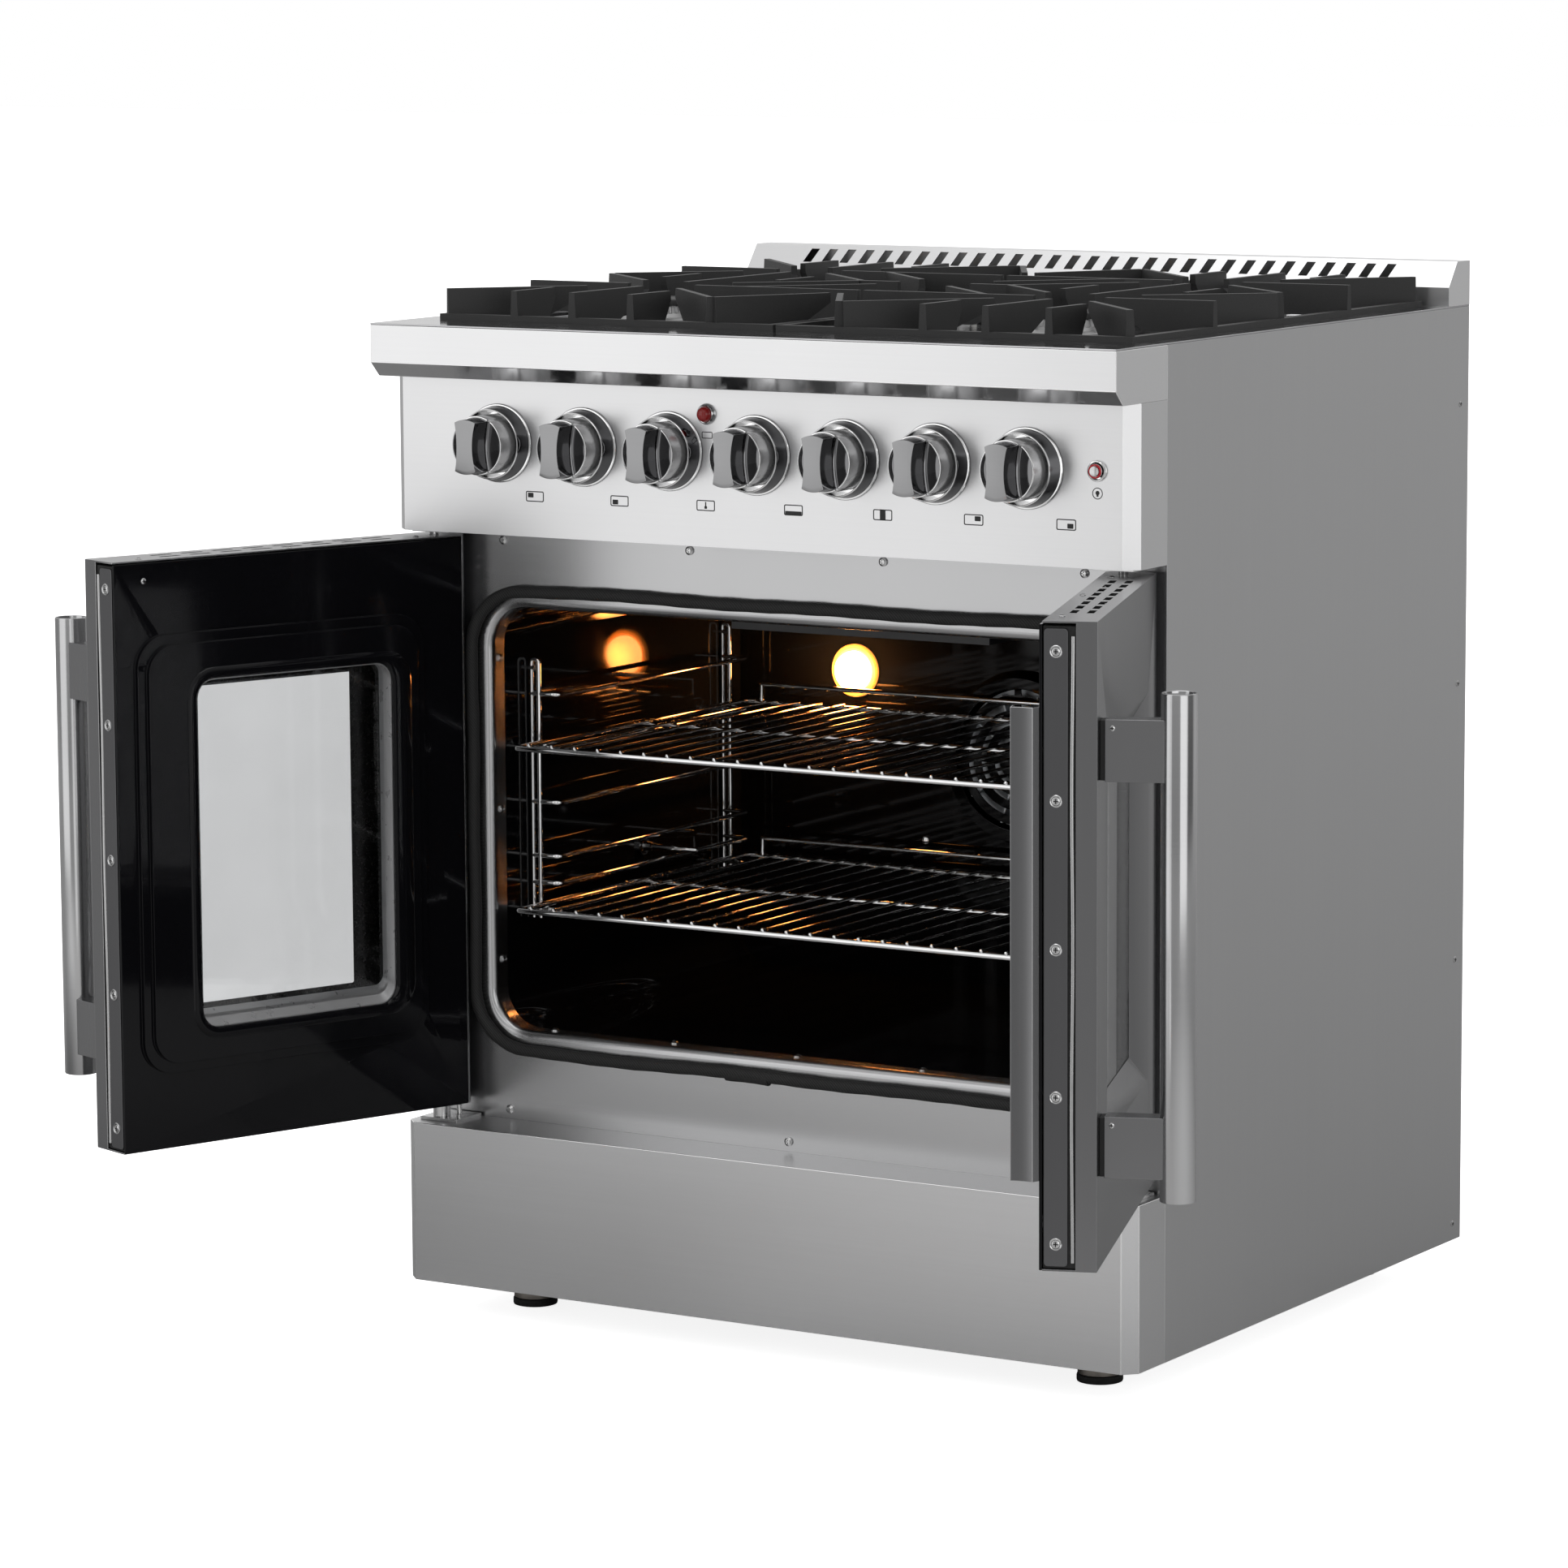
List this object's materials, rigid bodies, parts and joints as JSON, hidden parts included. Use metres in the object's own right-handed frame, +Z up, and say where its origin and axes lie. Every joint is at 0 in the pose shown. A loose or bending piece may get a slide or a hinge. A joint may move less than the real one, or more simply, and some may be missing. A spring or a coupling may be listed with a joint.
{
  "type": "freestanding gas range",
  "caption": "Freestanding gas range with French oven doors standing open, cast grates over sealed burners, front knobs and a convection oven with two sliding wire racks.",
  "frame": {"origin": "on the floor at the centre of the four feet", "axes": "+X to the user's right, +Y to the back, +Z up"},
  "size_m": [1.1349, 0.979, 0.9515],
  "materials": {
    "brushed_steel": "fine horizontal brushing",
    "panel_steel": "fine horizontal brushing",
    "frame_steel": "smooth satin",
    "side_steel": "light grey satin paint",
    "polished_steel": "glossy",
    "handle_steel": "bright satin",
    "screw_steel": "polished",
    "chrome": "polished",
    "knob_metal": "polished sides, satin face",
    "rack_chrome": "bright nickel plate",
    "galvanised_steel": "matte zinc",
    "dark_steel": "matte dark grey",
    "black_enamel": "gloss black porcelain enamel with fine flecks",
    "cap_enamel": "matte black enamel",
    "cast_iron": "matte black",
    "burner_aluminium": "cast",
    "brass": "machined",
    "gas_pipe": "black iron and zinc pipe",
    "insulation": "fibrous blanket",
    "gasket_rope": "woven fibreglass rope",
    "lamp_glass": "ribbed clear glass",
    "window_glass": "dark tinted",
    "red_lens": "translucent red",
    "black_plastic": "matte",
    "foot_metal": "turned, on a black base"
  },
  "bodies": {
    "cabinet": {"side_panels": "side_steel", "back_panel": "galvanised_steel", "base_pan": "galvanised_steel", "front_frame": "frame_steel", "front_screws": "screw_steel", "bullnose_rail": "brushed_steel", "control_panel": "panel_steel", "kick_panel": "panel_steel", "cooktop": "polished_steel", "backguard": "brushed_steel", "hinge_mounts": "dark_steel", "oven_liner": "black_enamel", "oven_insulation": "insulation", "door_gasket": "gasket_rope", "rack_supports": "rack_chrome", "fan_cover": "black_enamel", "fan_motor": "galvanised_steel", "oven_lamp": "lamp_glass", "oven_burners": "dark_steel", "gas_supply": "gas_pipe", "gas_valves": "brass", "power_inlet": "black_plastic", "knob_bezels": "chrome", "indicator_lamp": "red_lens", "burner_heads": "burner_aluminium"},
    "door_left": {"door_skin_left": "brushed_steel", "door_inner_left": "black_enamel", "door_glass_left": "window_glass", "edge_strip_left": "dark_steel", "handle_left": "handle_steel", "handle_posts_left": "handle_steel"},
    "door_right": {"door_skin_right": "brushed_steel", "door_inner_right": "black_enamel", "door_glass_right": "window_glass", "edge_strip_right": "dark_steel", "handle_right": "handle_steel", "handle_posts_right": "handle_steel", "centre_strip": "screw_steel"},
    "light_button": {"light_button": "screw_steel"},
    "fan_wheel": {"fan_wheel": "galvanised_steel"},
    "rack_lower": {"rack_lower": "rack_chrome"},
    "rack_upper": {"rack_upper": "rack_chrome"},
    "grate_left": {"grate_left": "cast_iron"},
    "grate_right": {"grate_right": "cast_iron"},
    "knob_rear_left": {"knob_rear_left": "knob_metal"},
    "knob_front_left": {"knob_front_left": "knob_metal"},
    "knob_oven_heat": {"knob_oven_heat": "knob_metal"},
    "knob_oven_mode": {"knob_oven_mode": "knob_metal"},
    "knob_centre": {"knob_centre": "knob_metal"},
    "knob_rear_right": {"knob_rear_right": "knob_metal"},
    "knob_front_right": {"knob_front_right": "knob_metal"},
    "burner_cap_front_left": {"burner_cap_front_left": "cap_enamel"},
    "burner_cap_rear_left": {"burner_cap_rear_left": "cap_enamel"},
    "burner_cap_centre": {"burner_cap_centre": "cap_enamel"},
    "burner_cap_front_right": {"burner_cap_front_right": "cap_enamel"},
    "burner_cap_rear_right": {"burner_cap_rear_right": "cap_enamel"},
    "foot_front_left": {"foot_front_left": "foot_metal"},
    "foot_front_right": {"foot_front_right": "foot_metal"},
    "foot_rear_left": {"foot_rear_left": "foot_metal"},
    "foot_rear_right": {"foot_rear_right": "foot_metal"}
  },
  "joints": [
    {"name": "door_left_hinge", "type": "hinge", "parent": "cabinet", "child": "door_left", "pos_m": [-0.3545, -0.3131, 0.455], "axis": [0, 0, -1], "range_deg": [-110, 0]},
    {"name": "door_right_hinge", "type": "hinge", "parent": "cabinet", "child": "door_right", "pos_m": [0.3545, -0.3131, 0.455], "axis": [0, 0, 1], "range_deg": [-111, 0]},
    {"name": "fan_spin", "type": "hinge", "parent": "cabinet", "child": "fan_wheel", "pos_m": [0, 0.14, 0.481], "axis": [0, 1, 0], "continuous": true},
    {"name": "light_button_press", "type": "slide", "parent": "cabinet", "child": "light_button", "axis": [0, 1, 0], "range_m": [0, 0.0025], "stiffness_N_per_m": 400},
    {"name": "knob_rear_left_turn", "type": "hinge", "parent": "cabinet", "child": "knob_rear_left", "pos_m": [-0.264, -0.3725, 0.8055], "axis": [0, 1, 0], "range_deg": [-230, 0]},
    {"name": "knob_front_left_turn", "type": "hinge", "parent": "cabinet", "child": "knob_front_left", "pos_m": [-0.174, -0.3725, 0.8055], "axis": [0, 1, 0], "range_deg": [-230, 0]},
    {"name": "knob_oven_heat_turn", "type": "hinge", "parent": "cabinet", "child": "knob_oven_heat", "pos_m": [-0.084, -0.3725, 0.8055], "axis": [0, 1, 0], "range_deg": [-300, 0]},
    {"name": "knob_oven_mode_turn", "type": "hinge", "parent": "cabinet", "child": "knob_oven_mode", "pos_m": [0.006, -0.3725, 0.8055], "axis": [0, 1, 0], "range_deg": [-270, 0]},
    {"name": "knob_centre_turn", "type": "hinge", "parent": "cabinet", "child": "knob_centre", "pos_m": [0.096, -0.3725, 0.8055], "axis": [0, 1, 0], "range_deg": [-230, 0]},
    {"name": "knob_rear_right_turn", "type": "hinge", "parent": "cabinet", "child": "knob_rear_right", "pos_m": [0.186, -0.3725, 0.8055], "axis": [0, 1, 0], "range_deg": [-230, 0]},
    {"name": "knob_front_right_turn", "type": "hinge", "parent": "cabinet", "child": "knob_front_right", "pos_m": [0.276, -0.3725, 0.8055], "axis": [0, 1, 0], "range_deg": [-230, 0]},
    {"name": "rack_lower_slide", "type": "slide", "parent": "cabinet", "child": "rack_lower", "axis": [0, -1, 0], "range_m": [0, 0.18]},
    {"name": "rack_upper_slide", "type": "slide", "parent": "cabinet", "child": "rack_upper", "axis": [0, -1, 0], "range_m": [0, 0.18]},
    {"name": "grate_left_lift", "type": "slide", "parent": "cabinet", "child": "grate_left", "axis": [0, 0, 1], "range_m": [0, 0.12]},
    {"name": "grate_right_lift", "type": "slide", "parent": "cabinet", "child": "grate_right", "axis": [0, 0, 1], "range_m": [0, 0.12]},
    {"name": "burner_cap_front_left_lift", "type": "slide", "parent": "cabinet", "child": "burner_cap_front_left", "axis": [0, 0, 1], "range_m": [0, 0.0025]},
    {"name": "burner_cap_rear_left_lift", "type": "slide", "parent": "cabinet", "child": "burner_cap_rear_left", "axis": [0, 0, 1], "range_m": [0, 0.0025]},
    {"name": "burner_cap_centre_lift", "type": "slide", "parent": "cabinet", "child": "burner_cap_centre", "axis": [0, 0, 1], "range_m": [0, 0.0025]},
    {"name": "burner_cap_front_right_lift", "type": "slide", "parent": "cabinet", "child": "burner_cap_front_right", "axis": [0, 0, 1], "range_m": [0, 0.0025]},
    {"name": "burner_cap_rear_right_lift", "type": "slide", "parent": "cabinet", "child": "burner_cap_rear_right", "axis": [0, 0, 1], "range_m": [0, 0.0025]},
    {"name": "foot_front_left_level", "type": "slide", "parent": "cabinet", "child": "foot_front_left", "axis": [0, 0, -1], "range_m": [0, 0.025]},
    {"name": "foot_front_right_level", "type": "slide", "parent": "cabinet", "child": "foot_front_right", "axis": [0, 0, -1], "range_m": [0, 0.025]},
    {"name": "foot_rear_left_level", "type": "slide", "parent": "cabinet", "child": "foot_rear_left", "axis": [0, 0, -1], "range_m": [0, 0.025]},
    {"name": "foot_rear_right_level", "type": "slide", "parent": "cabinet", "child": "foot_rear_right", "axis": [0, 0, -1], "range_m": [0, 0.025]}
  ]
}
